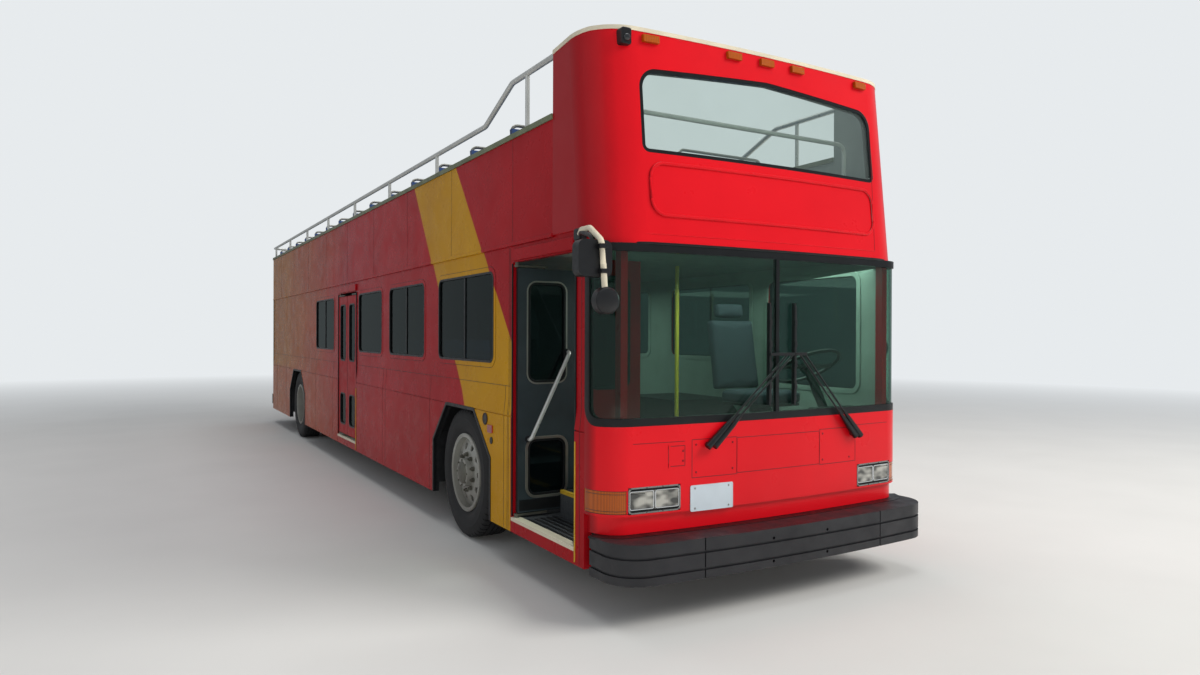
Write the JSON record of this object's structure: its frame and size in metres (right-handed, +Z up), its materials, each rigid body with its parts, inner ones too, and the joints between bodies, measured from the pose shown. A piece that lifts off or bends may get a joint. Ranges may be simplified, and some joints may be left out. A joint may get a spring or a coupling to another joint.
{
  "type": "open top double deck bus",
  "caption": "Open top double deck bus: box body with a bowed leaning upper front, folding doorways, rails round the open deck, steered front wheels and twin rear wheels.",
  "frame": {"origin": "on the ground under the middle of the length over the bumpers", "axes": "front faces -Y, the doors are on -X, +Z is up"},
  "size_m": [2.91, 12.1918, 3.3649],
  "materials": {
    "front_paint": "gloss",
    "side_paint": "gloss",
    "cream_trim": "satin",
    "cap_paint": "satin",
    "rubber_black": "matte",
    "glass": "polished",
    "door_paint": "gloss",
    "steel": "brushed",
    "bumper_black": "matte",
    "chassis": "satin",
    "engine_metal": "matte",
    "rim_paint": "satin",
    "tyre": "matte",
    "floor_covering": "matte",
    "bench_shell": "satin",
    "dark_trim": "satin",
    "seat_cloth": "matte",
    "headlamp_glass": "gloss",
    "amber_lens": "gloss",
    "red_lens": "gloss",
    "plate_white": "satin"
  },
  "bodies": {
    "bus_body": {"amber_lamps": "amber_lens", "bumpers": "bumper_black", "dashboard": "dark_trim", "deck_rails": "steel", "door_steps": "floor_covering", "driver_seat": "seat_cloth", "engine": "engine_metal", "front_axle": "chassis", "front_mask": "front_paint", "front_panel": "front_paint", "grab_poles": "steel", "headlamps": "headlamp_glass", "lower_benches": "bench_shell", "lower_floor": "floor_covering", "mask_trim": "cream_trim", "mirrors": "dark_trim", "number_plate": "plate_white", "parapet_cap": "cap_paint", "rear_axle": "chassis", "rear_wall": "side_paint", "side_glass": "glass", "side_wall_left": "side_paint", "side_wall_right": "side_paint", "staircase": "floor_covering", "steering_wheel": "dark_trim", "tail_lamps": "red_lens", "underframe": "chassis", "upper_benches": "bench_shell", "upper_floor": "floor_covering", "upper_rear_wall": "side_paint", "upper_sides": "side_paint", "wheel_housings": "chassis", "windscreen_rubbers": "rubber_black", "windscreens": "glass", "wipers": "dark_trim"},
    "front_door_arm_a_body": {"front_door_arm_a": "steel"},
    "front_door_leaf_a_body": {"front_door_leaf_a": "door_paint", "front_door_glass_a": "glass"},
    "front_door_arm_b_body": {"front_door_arm_b": "steel"},
    "front_door_leaf_b_body": {"front_door_leaf_b": "door_paint", "front_door_glass_b": "glass"},
    "rear_door_arm_a_body": {"rear_door_arm_a": "steel"},
    "rear_door_leaf_a_body": {"rear_door_leaf_a": "door_paint", "rear_door_glass_a": "glass"},
    "rear_door_arm_b_body": {"rear_door_arm_b": "steel"},
    "rear_door_leaf_b_body": {"rear_door_leaf_b": "door_paint", "rear_door_glass_b": "glass"},
    "steering_knuckle_right": {"knuckle_right": "chassis"},
    "wheel_front_right": {"rim_front_right": "rim_paint", "tyre_front_right": "tyre"},
    "wheels_rear_right": {"rims_rear_right": "rim_paint", "tyres_rear_right": "tyre"},
    "steering_knuckle_left": {"knuckle_left": "chassis"},
    "wheel_front_left": {"rim_front_left": "rim_paint", "tyre_front_left": "tyre"},
    "wheels_rear_left": {"rims_rear_left": "rim_paint", "tyres_rear_left": "tyre"},
    "steering_tie_rod": {"tie_rod": "chassis"},
    "engine_door_body": {"engine_door": "side_paint"}
  },
  "joints": [
    {"name": "front_door_arm_a", "type": "hinge", "parent": "bus_body", "child": "front_door_arm_a_body", "pos_m": [-1.19, -5.474, 0.365], "axis": [0, 0, 1], "range_deg": [0, 90]},
    {"name": "front_door_leaf_a", "type": "hinge", "parent": "front_door_arm_a_body", "child": "front_door_leaf_a_body", "pos_m": [-0.9825, -5.474, 0.385], "axis": [0, 0, 1], "range_deg": [-180, 0]},
    {"name": "front_door_arm_b", "type": "hinge", "parent": "bus_body", "child": "front_door_arm_b_body", "pos_m": [-1.19, -4.634, 0.365], "axis": [0, 0, 1], "range_deg": [-90, 0]},
    {"name": "front_door_leaf_b", "type": "hinge", "parent": "front_door_arm_b_body", "child": "front_door_leaf_b_body", "pos_m": [-0.9825, -4.634, 0.385], "axis": [0, 0, 1], "range_deg": [0, 180]},
    {"name": "rear_door_arm_a", "type": "hinge", "parent": "bus_body", "child": "rear_door_arm_a_body", "pos_m": [-1.19, -0.214, 0.365], "axis": [0, 0, 1], "range_deg": [-90, 0]},
    {"name": "rear_door_leaf_a", "type": "hinge", "parent": "rear_door_arm_a_body", "child": "rear_door_leaf_a_body", "pos_m": [-1.19, -0.0025, 0.385], "axis": [0, 0, 1], "range_deg": [0, 180]},
    {"name": "rear_door_arm_b", "type": "hinge", "parent": "bus_body", "child": "rear_door_arm_b_body", "pos_m": [-1.19, 0.642, 0.365], "axis": [0, 0, 1], "range_deg": [0, 90]},
    {"name": "rear_door_leaf_b", "type": "hinge", "parent": "rear_door_arm_b_body", "child": "rear_door_leaf_b_body", "pos_m": [-1.19, 0.4305, 0.385], "axis": [0, 0, 1], "range_deg": [-180, 0]},
    {"name": "steer_right", "type": "hinge", "parent": "bus_body", "child": "steering_knuckle_right", "pos_m": [-0.86, -3.61, 0.505], "axis": [0, 0, 1], "range_deg": [-35, 35]},
    {"name": "spin_front_right", "type": "hinge", "parent": "steering_knuckle_right", "child": "wheel_front_right", "pos_m": [-1.045, -3.61, 0.505], "axis": [1, 0, 0], "continuous": true},
    {"name": "spin_rear_right", "type": "hinge", "parent": "bus_body", "child": "wheels_rear_right", "pos_m": [-1.045, 3.477, 0.505], "axis": [1, 0, 0], "continuous": true},
    {"name": "steer_left", "type": "hinge", "parent": "bus_body", "child": "steering_knuckle_left", "pos_m": [0.86, -3.61, 0.505], "axis": [0, 0, 1], "range_deg": [-35, 35]},
    {"name": "spin_front_left", "type": "hinge", "parent": "steering_knuckle_left", "child": "wheel_front_left", "pos_m": [1.045, -3.61, 0.505], "axis": [1, 0, 0], "continuous": true},
    {"name": "spin_rear_left", "type": "hinge", "parent": "bus_body", "child": "wheels_rear_left", "pos_m": [1.045, 3.477, 0.505], "axis": [1, 0, 0], "continuous": true},
    {"name": "tie_rod_pivot", "type": "hinge", "parent": "steering_knuckle_right", "child": "steering_tie_rod", "pos_m": [-0.86, -3.35, 0.42], "axis": [0, 0, 1], "range_deg": [-35, 35]},
    {"name": "engine_door_hinge", "type": "hinge", "parent": "bus_body", "child": "engine_door_body", "pos_m": [0, 5.993, 1.233], "axis": [1, 0, 0], "range_deg": [0, 75]}
  ],
  "couplings": [
    {"joint": "front_door_leaf_a", "follows": "front_door_arm_a", "ratio": -2},
    {"joint": "front_door_arm_b", "follows": "front_door_arm_a", "ratio": -1},
    {"joint": "front_door_leaf_b", "follows": "front_door_arm_a", "ratio": 2},
    {"joint": "rear_door_leaf_a", "follows": "rear_door_arm_a", "ratio": -2},
    {"joint": "rear_door_arm_b", "follows": "rear_door_arm_a", "ratio": -1},
    {"joint": "rear_door_leaf_b", "follows": "rear_door_arm_a", "ratio": 2},
    {"joint": "steer_left", "follows": "steer_right", "ratio": 1},
    {"joint": "tie_rod_pivot", "follows": "steer_right", "ratio": -1}
  ]
}
